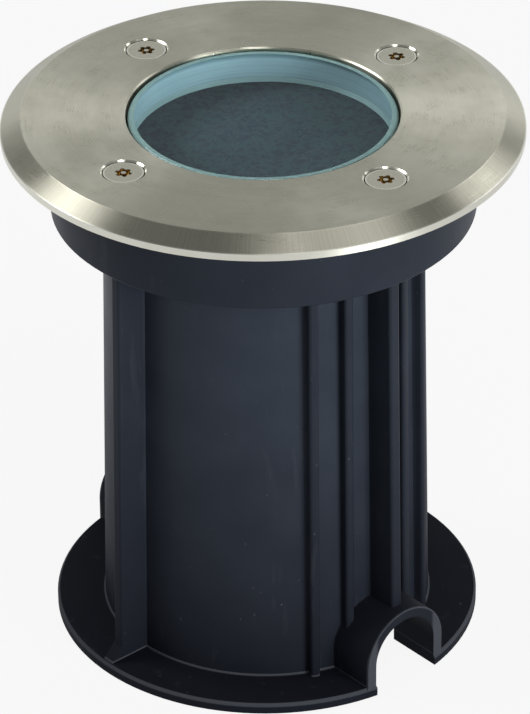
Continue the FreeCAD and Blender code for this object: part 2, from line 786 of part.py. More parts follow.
def build_contacts():
    along = "pin_spacing / 2 * sin(slot_angle / 2)"
    contact = block(
        "Contact", "contact_width", "contact_length", "contact_thickness",
        "pin_spacing / 2 - contact_width / 2", f"{along} - contact_length / 2", CONTACT)
    return around("Contacts", contact, 2)


BLOCK_TOP = total(FLOOR_TOP, "block_height")
CLAMP_AXIS = total(FLOOR_TOP, "clamp_axis_height")


def pole_shifts():
    """Where the outer poles stand, measured from the middle one."""
    pitch = float(sheet.get("pole_pitch"))
    return (-pitch, 0.0, pitch)


def build_terminal_block():
    far_edge = less("0", BLOCK_NEAR_EDGE, "block_width")
    body = block(
        "BlockBody", "block_length", "block_width", "block_height", "0 - block_length / 2", far_edge, FLOOR_TOP)
    way = lying_cylinder(
        "WireWay", total("clamp_radius", "clamp_clearance"), "block_width", "0", far_edge, CLAMP_AXIS)
    screw_way = cylinder(
        "ClampScrewWay", total("clamp_screw_radius", "clamp_clearance"), less(BLOCK_TOP, CLAMP_AXIS),
        "0", BLOCK_MIDDLE, CLAMP_AXIS)
    poles = in_row("Poles", fuse("Pole", [way, screw_way]), pole_shifts())
    fixings = []
    for side in ("0 - pole_pitch / 2", "pole_pitch / 2"):
        fixings.append(cylinder(
            f"FixingHole{len(fixings) + 1}", total("block_screw_radius", "small_screw_clearance"),
            "block_height", side, BLOCK_MIDDLE, FLOOR_TOP))
    return cut("Block", body, [poles] + fixings)


def build_terminal_clamps():
    length = less("block_width", "2 * clamp_recess")
    start = less("clamp_recess", BLOCK_NEAR_EDGE, "block_width")
    tube = lying_cylinder("ClampTube", "clamp_radius", length, "0", start, CLAMP_AXIS)
    bore = lying_cylinder("ClampBore", "clamp_bore_radius", length, "0", start, CLAMP_AXIS)
    return in_row("Clamps", cut("Clamp", tube, [bore]), pole_shifts())


def build_clamp_screws():
    tip = total(CLAMP_AXIS, "clamp_radius")
    screw = cylinder(
        "ClampScrew", "clamp_screw_radius", less(BLOCK_TOP, "clamp_screw_sink", tip),
        "0", BLOCK_MIDDLE, tip)
    return in_row("ClampScrews", screw, pole_shifts())


def build_block_screws():
    screws = []
    for side in ("0 - pole_pitch / 2", "pole_pitch / 2"):
        name = f"BlockScrew{len(screws) + 1}"
        head = cylinder(
            name + "Head", "block_screw_head_radius", "block_screw_head_height", side, BLOCK_MIDDLE, BLOCK_TOP)
        shank = cylinder(
            name + "Shank", "block_screw_radius", total("block_height", "block_screw_bite"),
            side, BLOCK_MIDDLE, less(FLOOR_TOP, "block_screw_bite"))
        screws.append(fuse(name, [head, shank]))
    item = doc.addObject("Part::Compound", "BlockScrews")
    item.Links = screws
    return item


def rounded_path(corners, radius):
    """Straight runs through the corners, joined by tangent arcs."""
    edges = []
    start = corners[0]
    for before, corner, after in zip(corners, corners[1:], corners[2:]):
        back = (before - corner).normalize()
        ahead = (after - corner).normalize()
        half_angle = back.getAngle(ahead) / 2
        reach = radius / math.tan(half_angle)
        inward = (back + ahead).normalize()
        centre = corner + inward * (radius / math.sin(half_angle))
        arc_start = corner + back * reach
        arc_end = corner + ahead * reach
        edges.append(Part.LineSegment(start, arc_start).toShape())
        edges.append(Part.Arc(arc_start, centre - inward * radius, arc_end).toShape())
        start = arc_end
    edges.append(Part.LineSegment(start, corners[-1]).toShape())
    return Part.Wire(edges)


def build_leads():
    """Two leads, from the lampholder's neck down and out to the terminal block."""
    lead = {name: float(sheet.get(name)) for name in SIZES}
    drop = lead["post_height"] + lead["bracket_thickness"]
    drop -= lead["holder_neck_height"] + lead["clamp_axis_height"]
    leads = []
    for side in (-1, 1):
        exit_x = side * lead["lead_exit_across"]
        exit_y = -lead["lead_exit_depth"]
        pole_x = side * lead["pole_pitch"]
        path = rounded_path([
            FreeCAD.Vector(exit_x, exit_y, 0),
            FreeCAD.Vector(exit_x, exit_y, -lead["lead_exit_drop"]),
            FreeCAD.Vector(pole_x, -lead["lead_turn_depth"], -drop),
            FreeCAD.Vector(pole_x, -lead["lead_end_depth"], -drop),
        ], lead["lead_bend_radius"])
        section = Part.Circle(FreeCAD.Vector(exit_x, exit_y, 0), FreeCAD.Vector(0, 0, 1), lead["lead_radius"])
        leads.append(path.makePipeShell([Part.Wire(section.toShape())], True, False))
    item = doc.addObject("Part::Feature", "Leads")
    item.Shape = Part.makeCompound(leads)
    place(item, z=less(HOLDER, "holder_neck_height"))
    return item


def build_gland_body():
    spigot_bottom = less(GLAND_BOTTOM, "gland_spigot_length")
    thread_top = total(FLOOR_TOP, "gland_inside_length")
    hexagon = prism("GlandHexagon", "gland_flats", "gland_body_height", GLAND_BOTTOM)
    thread = cylinder("GlandThread", "gland_thread_radius", less(thread_top, GLAND_BOTTOM), z=GLAND_BOTTOM)
    spigot = cylinder("GlandSpigot", "gland_spigot_radius", "gland_spigot_length", z=spigot_bottom)
    bore = cylinder("GlandBore", "gland_bore_radius", less(thread_top, spigot_bottom), z=spigot_bottom)
    seat = cylinder(
        "GrommetSeat", "grommet_radius", less("grommet_length", "grommet_drop"), z=spigot_bottom)
    return cut("Gland", fuse("GlandBlank", [hexagon, thread, spigot]), [bore, seat])


def build_grommet():
    bottom = less(GLAND_BOTTOM, "gland_spigot_length", "grommet_drop")
    outer = cylinder("GrommetOuter", "grommet_radius", "grommet_length", z=bottom)
    inner = cylinder("GrommetBore", "grommet_bore_radius", "grommet_length", z=bottom)
    return cut("Grommet", outer, [inner])


def build_gland_washer():
    outer = cylinder("WasherOuter", "gland_washer_radius", "gland_washer_thickness", z=GLAND_TOP)
    inner = cylinder("WasherBore", GLAND_HOLE, "gland_washer_thickness", z=GLAND_TOP)
    return cut("Washer", outer, [inner])


def build_locknut():
    hexagon = prism("LocknutHexagon", "locknut_flats", "locknut_height", FLOOR_TOP)
    inner = cylinder("LocknutBore", GLAND_HOLE, "locknut_height", z=FLOOR_TOP)
    return cut("Locknut", hexagon, [inner])


def build_clamp_nut():
    hexagon = prism("ClampNutHexagon", "clamp_nut_flats", "clamp_nut_height", NUT_BOTTOM)
    dome_top = total(NUT_BOTTOM, "clamp_nut_dome")
    dome = turned("ClampNutDome", [
        ("0", NUT_BOTTOM),
        ("clamp_nut_face_radius", NUT_BOTTOM),
        ("clamp_nut_flats", dome_top),
        ("clamp_nut_flats", NUT_TOP),
        ("0", NUT_TOP),
    ])
    cavity_bottom = total(NUT_BOTTOM, "clamp_nut_wall")
    cavity = cylinder(
        "ClampNutCavity", total("gland_spigot_radius", "clamp_nut_running"),
        less(NUT_TOP, cavity_bottom), z=cavity_bottom)
    mouth = cylinder("ClampNutMouth", "clamp_nut_mouth_radius", "clamp_nut_height", z=NUT_BOTTOM)
    return cut("ClampNut", common("ClampNutBlank", hexagon, dome), [cavity, mouth])


def build_lamp_reflector():
    floor_top = total(LAMP_SHELL, "lamp_shell_wall")
    rim_bottom = less(LAMP_TOP, "lamp_rim_height")
    waist = total(LAMP_SHELL, "lamp_waist_height")
    neck_top = total(LAMP_SHELL, "lamp_neck_height")
    return turned("Reflector", [
        ("0", LAMP_SHELL),
        ("lamp_neck_radius", LAMP_SHELL),
        ("lamp_neck_radius", neck_top),
        ("lamp_waist_radius", waist),
        ("lamp_radius", rim_bottom),
        ("lamp_radius", LAMP_TOP),
        (less("lamp_radius", "lamp_shell_wall"), LAMP_TOP),
        (less("lamp_radius", "lamp_shell_wall"), rim_bottom),
        (less("lamp_waist_radius", "lamp_shell_wall"), waist),
        (less("lamp_neck_radius", "lamp_shell_wall"), neck_top),
        (less("lamp_neck_radius", "lamp_shell_wall"), floor_top),
        ("0", floor_top),
    ])


def build_lamp_pins():
    bottom = less(LAMP, "pin_length")
    head = cylinder("PinHead", "pin_head_radius", "pin_head_height", "pin_spacing / 2", "0", bottom)
    stem = cylinder("PinStem", "pin_stem_radius", "pin_length", "pin_spacing / 2", "0", bottom)
    return around("Pins", fuse("Pin", [head, stem]), 2)


keep("ground_sleeve", build_ground_sleeve())
keep("bezel_ring", build_bezel_ring())
keep("bezel_screws", build_bezel_screws())
keep("glass_lens", build_glass_lens())
keep("smoked_disc", cylinder("SmokedDisc", DISC_RADIUS, "disc_thickness", z=DISC))
keep("upper_gasket", build_gasket("UpperGasket", GLASS_FLANGE, "upper_gasket_thickness"))
keep("lower_gasket", build_gasket("LowerGasket", SEAT, "lower_gasket_thickness"))
keep("lamp_housing", build_lamp_housing())
keep("threaded_inserts", build_threaded_inserts())
keep("holder_bracket", build_bracket())
keep("bracket_screws", build_small_screws(
    "BracketScrews", POST_CIRCLE, HOLDER, less(HOLDER, "small_screw_length")))
keep("lampholder", build_lampholder())
keep("lampholder_contacts", build_contacts())
keep("lampholder_screws", build_small_screws(
    "HolderScrews", "holder_screw_circle", less(BRACKET, "small_screw_head_height"), BRACKET))
keep("terminal_block", build_terminal_block())
keep("terminal_clamps", build_terminal_clamps())
keep("terminal_clamp_screws", build_clamp_screws())
keep("terminal_block_screws", build_block_screws())
keep("lampholder_leads", build_leads())
keep("gland_body", build_gland_body())
keep("gland_washer", build_gland_washer())
keep("gland_locknut", build_locknut())
keep("gland_grommet", build_grommet())
keep("gland_clamp_nut", build_clamp_nut())
keep("lamp_reflector", build_lamp_reflector())
keep("lamp_front_lens", cylinder(
    "LampLens", less("lamp_radius", "lamp_shell_wall", "lamp_fit"), "lamp_lens_thickness",
    z=less(LAMP_TOP, "lamp_lens_sink", "lamp_lens_thickness")))
keep("lamp_board", cylinder(
    "LampBoard", "lamp_board_radius", "lamp_board_thickness", z=total(LAMP_SHELL, "lamp_shell_wall")))
keep("lamp_emitter", cylinder(
    "Emitter", "emitter_radius", "emitter_height",
    z=total(LAMP_SHELL, "lamp_shell_wall", "lamp_board_thickness")))
keep("lamp_base", cylinder("LampBase", "lamp_base_radius", "lamp_base_height", z=LAMP))
keep("lamp_pins", build_lamp_pins())

doc.recompute()

for thing in doc.Objects:
    faults = [state for state in thing.State if state in ("Invalid", "Error")]
    if faults:
        raise RuntimeError(f"{thing.Name} ({thing.Label}) did not build: {faults}")
for node, thing in NODES.items():
    if thing.Shape.isNull() or not thing.Shape.isValid():
        raise RuntimeError(f"{node} has no valid shape")
    if not thing.Shape.Solids:
        raise RuntimeError(f"{node} holds no solid")
for node, thing in NODES.items():
    thing.Shape.exportStep(f"parts/{node}.step")
    box = thing.Shape.BoundBox
    print(
        f"{node}: {len(thing.Shape.Solids)} solids, {thing.Shape.Volume:.0f} mm3, "
        f"z {box.ZMin:.2f} to {box.ZMax:.2f}, radius {max(box.XMax, box.YMax):.2f}")
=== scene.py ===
"""In ground well light: its finishes, floor, studio lamps and camera.

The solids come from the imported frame, and the axes are the frame's: +Z up through the glass, +X and -X
along the two cable tunnels. Lengths are in metres where nothing else is said."""

import math

import bpy
from mathutils import Matrix, Vector


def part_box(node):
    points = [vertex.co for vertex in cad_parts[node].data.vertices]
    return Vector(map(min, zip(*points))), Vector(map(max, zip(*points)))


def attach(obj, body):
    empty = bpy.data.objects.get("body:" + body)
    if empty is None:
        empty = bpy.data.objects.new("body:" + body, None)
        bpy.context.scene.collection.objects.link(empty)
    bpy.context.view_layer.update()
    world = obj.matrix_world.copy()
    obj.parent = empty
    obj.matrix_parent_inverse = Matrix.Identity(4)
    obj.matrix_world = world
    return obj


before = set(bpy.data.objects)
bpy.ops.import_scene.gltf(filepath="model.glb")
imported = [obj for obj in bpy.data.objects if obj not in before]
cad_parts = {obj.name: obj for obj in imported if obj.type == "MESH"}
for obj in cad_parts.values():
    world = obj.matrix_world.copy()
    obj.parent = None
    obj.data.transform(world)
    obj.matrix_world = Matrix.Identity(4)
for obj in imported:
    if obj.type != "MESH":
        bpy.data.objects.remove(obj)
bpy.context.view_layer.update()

MM_PER_M = 1000.0


# ---------------------------------------------------------------- node helpers

def add(tree, kind, **settings):
    """A node of that kind. A setting is one of the node's own, or else the value of an input."""
    node = tree.nodes.new(kind)
    for name, value in settings.items():
        if hasattr(node, name):
            setattr(node, name, value)
        else:
            node.inputs[name.replace("_", " ")].default_value = value
    return node


def feed(tree, source, node, socket):
    """Links an output socket, or a node's first output, to a node's input."""
    output = source if isinstance(source, bpy.types.NodeSocket) else source.outputs[0]
    tree.links.new(output, node.inputs[socket])


def maths(tree, kind, *terms):
    """One Math node. A term is a number or what feeds it."""
    node = add(tree, "ShaderNodeMath", operation=kind)
    for place, term in enumerate(terms):
        if isinstance(term, (int, float)):
            node.inputs[place].default_value = term
        else:
            feed(tree, term, node, place)
    return node.outputs[0]


def ramp(tree, source, low, high, out_low=0.0, out_high=1.0):
    """A value run from low..high to out_low..out_high, held at both ends."""
    node = add(tree, "ShaderNodeMapRange", clamp=True)
    limits = {"From Min": low, "From Max": high, "To Min": out_low, "To Max": out_high}
    for socket, value in limits.items():
        node.inputs[socket].default_value = value
    feed(tree, source, node, "Value")
    return node.outputs["Result"]


def times(tree, first, second):
    """Two masks or numbers multiplied."""
    return maths(tree, "MULTIPLY", first, second)


def spread(tree, noise, low=0.0, high=1.0):
    """The middle range of a noise, where most of its values lie, run to low..high."""
    return ramp(tree, noise, 0.3, 0.7, low, high)


def blend_colours(tree, share, first, second):
    """first turning into second as the share goes from 0 to 1. Each is a colour or what feeds it."""
    node = add(tree, "ShaderNodeMix", data_type="RGBA")
    feed(tree, share, node, 0)
    for socket, colour in ((6, first), (7, second)):
        if isinstance(colour, tuple):
            node.inputs[socket].default_value = (*colour, 1.0)
        else:
            feed(tree, colour, node, socket)
    return node.outputs[2]


def length_of(tree, first, second):
    """The length of a step from its two parts, which are square to each other."""
    squares = maths(tree, "ADD", times(tree, first, first), times(tree, second, second))
    return maths(tree, "SQRT", squares)


def object_place(tree):
    """A point's place on the object in metres, whole and split into X, Y and Z."""
    place = add(tree, "ShaderNodeTexCoord").outputs["Object"]
    parts = add(tree, "ShaderNodeSeparateXYZ")
    feed(tree, place, parts, 0)
    return place, parts


def noise_of_size(tree, place, size, **settings):
    """A noise over a place in metres, with its grain size given by a socket in mm."""
    noise = add(tree, "ShaderNodeTexNoise", **settings)
    feed(tree, place, noise, "Vector")
    feed(tree, maths(tree, "DIVIDE", MM_PER_M, size), noise, "Scale")
    return noise.outputs["Fac"]


def new_group(name, inputs, outputs):
    """An empty shader group with those sockets, its entry node and its exit node."""
    tree = bpy.data.node_groups.new(name, "ShaderNodeTree")
    for label, value in inputs.items():
        socket = tree.interface.new_socket(label, in_out="INPUT", socket_type="NodeSocketFloat")
        socket.default_value = value
    for label in outputs:
        tree.interface.new_socket(label, in_out="OUTPUT", socket_type="NodeSocketFloat")
    return tree, tree.nodes.new("NodeGroupInput"), tree.nodes.new("NodeGroupOutput")


def use(tree, group, **values):
    """A group placed in a material with its own values."""
    return add(tree, "ShaderNodeGroup", node_tree=group, **values)


def new_finish(name, **sockets):
    """A material, its node tree and its Principled shader with those sockets set."""
    finish = bpy.data.materials.new(name)
    finish.use_nodes = True
    shader = finish.node_tree.nodes["Principled BSDF"]
    for socket, value in sockets.items():
        shader.inputs[socket.replace("_", " ")].default_value = value
    return finish, finish.node_tree, shader


def raise_by(tree, height, shader, strength, distance):
    """A Bump node from a height to the shader's Normal."""
    bump = add(tree, "ShaderNodeBump", Strength=strength, Distance=distance)
    feed(tree, height, bump, "Height")
    feed(tree, bump, shader, "Normal")


def show_either(tree, share, first, second):
    """The material's surface: the first shader, turning into the second as the share goes from 0 to 1."""
    either = add(tree, "ShaderNodeMixShader")
    for socket, source in enumerate((share, first, second)):
        feed(tree, source, either, socket)
    feed(tree, either, tree.nodes["Material Output"], "Surface")


def finish_nodes(finish, *names):
    """Gives CAD nodes a finish."""
    for name in names:
        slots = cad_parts[name].data.materials
        slots.clear()
        slots.append(finish)


# ---------------------------------------------------------------- shared effects

def moulded_skin():
    """Moulded plastic: a fine grain, slow clouding and the odd soft scuff."""
    sizes = {"Grain Size": 0.35, "Cloud Size": 14.0}
    tree, start, end = new_group("Moulded Skin", sizes, ("Grain", "Cloud", "Scuff"))
    place = add(tree, "ShaderNodeTexCoord").outputs["Object"]
    for size, label, detail in (("Grain Size", "Grain", 2.0), ("Cloud Size", "Cloud", 3.0)):
        noise = noise_of_size(tree, place, start.outputs[size], Detail=detail, Roughness=0.55)
        feed(tree, noise, end, label)
    stretched = add(tree, "ShaderNodeMapping", Scale=(260.0, 260.0, 45.0))
    feed(tree, place, stretched, "Vector")
    scuff = add(tree, "ShaderNodeTexNoise", Scale=1.0, Detail=4.0, Roughness=0.6)
    feed(tree, stretched, scuff, "Vector")
    feed(tree, ramp(tree, scuff.outputs["Fac"], 0.62, 0.72), end, "Scuff")
    return tree


def circular_brushing():
    """Lines brushed round the Z axis: fine lines, broader bands, and how far out a point is in mm."""
    widths = {"Line Width": 0.12, "Band Width": 1.6}
    tree, start, end = new_group("Circular Brushing", widths, ("Lines", "Bands", "Radius"))
    place = add(tree, "ShaderNodeTexCoord").outputs["Object"]
    flat = add(tree, "ShaderNodeVectorMath", operation="MULTIPLY")
    flat.inputs[1].default_value = (MM_PER_M, MM_PER_M, 0.0)
    feed(tree, place, flat, 0)
    out = add(tree, "ShaderNodeVectorMath", operation="LENGTH")
    feed(tree, flat, out, 0)
    radius = out.outputs["Value"]
    parts = add(tree, "ShaderNodeSeparateXYZ")
    feed(tree, flat, parts, 0)
    turn = maths(tree, "ARCTAN2", parts.outputs["Y"], parts.outputs["X"])
    for width, label, drift in (("Line Width", "Lines", 9.0), ("Band Width", "Bands", 1.5)):
        # a brushed line is long but not endless, so it drifts with the turn
        across = maths(tree, "DIVIDE", radius, start.outputs[width])
        at = add(tree, "ShaderNodeCombineXYZ")
        feed(tree, across, at, "X")
        feed(tree, times(tree, maths(tree, "COSINE", turn), drift), at, "Y")
        feed(tree, times(tree, maths(tree, "SINE", turn), drift), at, "Z")
        noise = add(tree, "ShaderNodeTexNoise", Scale=1.0, Detail=1.0, Roughness=0.5)
        feed(tree, at, noise, "Vector")
        feed(tree, noise.outputs["Fac"], end, label)
    feed(tree, radius, end, "Radius")
    return tree


def radial_streaks():
    """Short streaks across a bevel, set by the turn round the Z axis."""
    tree, start, end = new_group("Radial Streaks", {"Streaks Per Turn": 900.0}, ("Streaks",))
    parts = object_place(tree)[1]
    turn = maths(tree, "ARCTAN2", parts.outputs["Y"], parts.outputs["X"])
    at = times(tree, turn, maths(tree, "DIVIDE", start.outputs["Streaks Per Turn"], 2 * math.pi))
    noise = add(tree, "ShaderNodeTexNoise", noise_dimensions="1D", Scale=1.0, Detail=2.0, Roughness=0.6)
    feed(tree, at, noise, "W")
    feed(tree, noise.outputs["Fac"], end, "Streaks")
    return tree


def worn_metal():
    """Plated or turned metal: blotches and fine scratches that run one way."""
    sizes = {"Blotch Size": 4.0, "Scratch Size": 0.3}
    tree, start, end = new_group("Worn Metal", sizes, ("Blotches", "Scratches"))
    place = add(tree, "ShaderNodeTexCoord").outputs["Object"]
    blotch = noise_of_size(tree, place, start.outputs["Blotch Size"], Detail=4.0, Roughness=0.6)
    feed(tree, blotch, end, "Blotches")
    long_way = add(tree, "ShaderNodeMapping", Rotation=(0.3, 0.5, 0.8), Scale=(1.0, 0.08, 0.3))
    feed(tree, place, long_way, "Vector")
    scratch = noise_of_size(tree, long_way, start.outputs["Scratch Size"], Detail=2.0, Roughness=0.7)
    feed(tree, scratch, end, "Scratches")
    return tree


def screw_rings():
    """How far a point is from the middle of the nearest of the four bezel screws, in mm."""
    tree, start, end = new_group("Screw Rings", {"Screw Circle": 37.0}, ("From Screw",))
    place = add(tree, "ShaderNodeVectorMath", operation="ABSOLUTE")
    feed(tree, add(tree, "ShaderNodeTexCoord").outputs["Object"], place, 0)
    parts = add(tree, "ShaderNodeSeparateXYZ")
    feed(tree, place, parts, 0)
    # the screws sit on the X and Y axes, so the longer of the two runs toward the nearest one
    longer = times(tree, maths(tree, "MAXIMUM", parts.outputs["X"], parts.outputs["Y"]), MM_PER_M)
    beside = times(tree, maths(tree, "MINIMUM", parts.outputs["X"], parts.outputs["Y"]), MM_PER_M)
    along = maths(tree, "SUBTRACT", longer, start.outputs["Screw Circle"])
    feed(tree, length_of(tree, along, beside), end, "From Screw")
    return tree


SKIN = moulded_skin()
BRUSHING = circular_brushing()
STREAKS = radial_streaks()
WORN = worn_metal()
SCREWS = screw_rings()

# radius of a screw's head and of the circle that the four screws sit on, in mm
SCREW_HEAD = 4.25
SCREW_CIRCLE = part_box("bezel_screws")[1].x * MM_PER_M - SCREW_HEAD


# ---------------------------------------------------------------- finishes that show

PLASTIC_IOR = 1.49


def moulded_plastic(name, dark, light, roughness, grain_size=0.35):
    """Matt to satin plastic with the moulded skin."""
    finish, tree, shader = new_finish(name, Specular_IOR_Level=0.5, IOR=PLASTIC_IOR)
    skin = use(tree, SKIN, Grain_Size=grain_size)
    tone = blend_colours(tree, spread(tree, skin.outputs["Cloud"]), dark, light)
    feed(tree, tone, shader, "Base Color")
    worn = maths(tree, "ADD", spread(tree, skin.outputs["Cloud"], roughness - 0.03, roughness + 0.03),
                 times(tree, skin.outputs["Scuff"], 0.06))
    feed(tree, worn, shader, "Roughness")
    raise_by(tree, skin.outputs["Grain"], shader, 0.25, 0.00002)
    return finish


# the sleeve in mm: its base flange, the arch over a cable tunnel (the height of its middle and its outer
# radius), the drafted tube's radius at both ends and its height, and the heights where the gloss and the
# painted shade change
FLANGE_THICKNESS = 2.4
FLANGE_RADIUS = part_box("ground_sleeve")[1].y * MM_PER_M
TUNNEL_SPRING = 7.2
TUNNEL_OUTSIDE = 10.7
TUBE_BASE = 35.8
TUBE_TOP = 34.0
TUBE_HEIGHT = 99.9
DULL_AND_SHADED_BELOW = 2.0
SATIN_AND_UNSHADED_ABOVE = 75.0


def sleeve_painted_highlights(tree, along, across, up, out):
    """A mask of painted highlights along the sleeve's edges: the flange's rim, the tube's foot and the
    tunnels' mouths.

    along, across and up are a point's X, Y and Z, and out is how far it is from the axis, all in mm."""
    painted_rim_highlight = times(tree, ramp(tree, out, FLANGE_RADIUS - 0.55, FLANGE_RADIUS - 0.40),
                   ramp(tree, up, FLANGE_THICKNESS - 0.9, FLANGE_THICKNESS - 0.6))
    painted_foot_highlight = times(tree, ramp(tree, up, FLANGE_THICKNESS + 0.5, FLANGE_THICKNESS + 0.4),
                    ramp(tree, up, FLANGE_THICKNESS + 0.05, FLANGE_THICKNESS + 0.15))
    arch = length_of(tree, across, maths(tree, "SUBTRACT", up, TUNNEL_SPRING))
    painted_arch_highlight = times(tree, ramp(tree, arch, TUNNEL_OUTSIDE - 0.40, TUNNEL_OUTSIDE - 0.25),
                    ramp(tree, arch, TUNNEL_OUTSIDE + 0.3, TUNNEL_OUTSIDE + 0.2))
    far_along = maths(tree, "ABSOLUTE", along)
    at_mouth = times(tree, ramp(tree, far_along, FLANGE_RADIUS - 1.6, FLANGE_RADIUS - 1.4),
                     ramp(tree, up, FLANGE_THICKNESS + 0.6, FLANGE_THICKNESS + 2.6))
    return maths(tree, "MAXIMUM", painted_rim_highlight, maths(tree, "MAXIMUM", painted_foot_highlight, times(tree, painted_arch_highlight, at_mouth)))


def painted_shade_off_the_wall(tree, up, out):
    """A mask of what stands out from the drafted tube's wall: ribs, fins, collar and flange, which get
    painted shade.
    """
    wall = ramp(tree, up, 0.0, TUBE_HEIGHT, TUBE_BASE, TUBE_TOP)
    return ramp(tree, maths(tree, "SUBTRACT", out, wall), 0.3, 0.8)


def sleeve_plastic():
    """The sleeve's bluish black plastic: satin up the tube, duller near the flange, specked. Painted shade
    darkens it toward the flange and on what stands out from the tube's wall, and painted highlights run along
    its edges.
    """
    finish, tree, shader = new_finish("Sleeve Plastic", Specular_IOR_Level=0.11,
                                      Specular_Tint=(0.72, 0.84, 1.0, 1.0), IOR=PLASTIC_IOR)
    skin = use(tree, SKIN, Grain_Size=0.35)
    cloud = skin.outputs["Cloud"]
    place, parts = object_place(tree)
    along, across, up = (times(tree, parts.outputs[axis], MM_PER_M) for axis in "XYZ")
    out = length_of(tree, along, across)
    height = ramp(tree, up, DULL_AND_SHADED_BELOW, SATIN_AND_UNSHADED_ABOVE)
    tone = blend_colours(tree, spread(tree, cloud), (0.0245, 0.0305, 0.0430), (0.0335, 0.0410, 0.0560))
    # painted shade on the ribs, fins, collar and flange, darker than the tube's wall
    tone = blend_colours(tree, times(tree, painted_shade_off_the_wall(tree, up, out), 0.55), tone, (0.0110, 0.0135, 0.0200))
    # painted shade, deepest at the flange and fading out up the tube
    tone = blend_colours(tree, ramp(tree, height, 0.0, 1.0, 0.80, 0.0), tone, (0.0034, 0.0035, 0.0064))
    speck = add(tree, "ShaderNodeTexNoise", Scale=900.0, Detail=1.0, Roughness=0.4)
    feed(tree, place, speck, "Vector")
    marks = maths(tree, "ADD", ramp(tree, speck.outputs["Fac"], 0.77, 0.81, 0.0, 0.5),
                  times(tree, skin.outputs["Scuff"], 0.12))
    # painted highlights along the flange's rim, the tube's foot and the tunnels' mouths take the pale colour
    # of the specks
    edges = sleeve_painted_highlights(tree, along, across, up, out)
    marks = maths(tree, "MAXIMUM", marks, times(tree, edges, 0.5))
    feed(tree, blend_colours(tree, marks, tone, (0.085, 0.092, 0.105)), shader, "Base Color")
    dull = ramp(tree, height, 0.0, 1.0, 0.74, 0.44)
    feed(tree, maths(tree, "ADD", dull, spread(tree, cloud, -0.04, 0.04)), shader, "Roughness")
    raise_by(tree, skin.outputs["Grain"], shader, 0.25, 0.00002)
    return finish


# in mm: where the bezel's bevel and its rim start, and the edges of a countersink and of the gap round a head
BEVEL_START = 50.5
RIM_START = 54.72
COUNTERSINK = SCREW_HEAD + 0.54
HEAD_GAP = SCREW_HEAD + 0.21


def bezel_steel():
    """Stainless bezel: brushed in circles on the flat, streaked across the bevel, which is painted darker as
    shade, with a painted highlight along its rim.
    """
    finish, tree, shader = new_finish("Bezel Steel", Metallic=1.0, Anisotropic=0.85,
                                      Anisotropic_Rotation=0.25)
    brushing = use(tree, BRUSHING, Line_Width=0.16)
    radius = brushing.outputs["Radius"]
    streaks = spread(tree, use(tree, STREAKS).outputs["Streaks"])
    cloud = use(tree, SKIN, Cloud_Size=20.0).outputs["Cloud"]
    patch = use(tree, WORN, Blotch_Size=7.0).outputs["Blotches"]
    lines = ramp(tree, brushing.outputs["Lines"], 0.25, 0.75)
    bands = spread(tree, brushing.outputs["Bands"], 0.0, 0.3)
    flat = blend_colours(tree, lines, (0.560, 0.553, 0.455), (0.640, 0.633, 0.530))
    flat = blend_colours(tree, bands, flat, (0.71, 0.704, 0.58))
    flat = blend_colours(tree, ramp(tree, cloud, 0.42, 0.66, 0.0, 0.5), flat, (0.470, 0.460, 0.372))
    flat = blend_colours(tree, ramp(tree, patch, 0.48, 0.66, 0.0, 0.38), flat, (0.700, 0.690, 0.590))
    flat = blend_colours(tree, ramp(tree, patch, 0.46, 0.30, 0.0, 0.25), flat, (0.470, 0.455, 0.350))
    # the bevel is painted darker than the flat, as shade
    bevel = blend_colours(tree, streaks, (0.410, 0.401, 0.328), (0.490, 0.480, 0.400))
    # a painted highlight along the rim
    painted_rim_highlight = ramp(tree, radius, RIM_START, RIM_START + 0.14)
    bevel = blend_colours(tree, painted_rim_highlight, bevel, (0.70, 0.695, 0.62))
    steel = blend_colours(tree, ramp(tree, radius, BEVEL_START, BEVEL_START + 0.5), flat, bevel)
    # the countersinks are turned smoother and painted paler as a highlight, with a dark line of painted shade
    # where the head sits
    from_screw = use(tree, SCREWS, Screw_Circle=SCREW_CIRCLE).outputs["From Screw"]
    in_sink = ramp(tree, from_screw, COUNTERSINK + 0.06, COUNTERSINK - 0.06)
    painted_gap_shade = ramp(tree, from_screw, HEAD_GAP + 0.05, HEAD_GAP - 0.05)
    steel = blend_colours(tree, in_sink, steel, (0.80, 0.79, 0.68))
    feed(tree, blend_colours(tree, painted_gap_shade, steel, (0.05, 0.045, 0.035)), shader, "Base Color")
    rough = maths(tree, "ADD", ramp(tree, lines, 0.0, 1.0, 0.28, 0.34), times(tree, in_sink, -0.12))
    rough = maths(tree, "ADD", rough, ramp(tree, patch, 0.35, 0.65, -0.03, 0.03))
    feed(tree, rough, shader, "Roughness")
    feed(tree, add(tree, "ShaderNodeTangent", direction_type="RADIAL", axis="Z"), shader, "Tangent")
    raise_by(tree, brushing.outputs["Lines"], shader, 0.02, 0.00001)
    return finish


# the socket of a screw, in mm
SOCKET_RADIUS = 2.5
SOCKET_DEPTH = 2.1


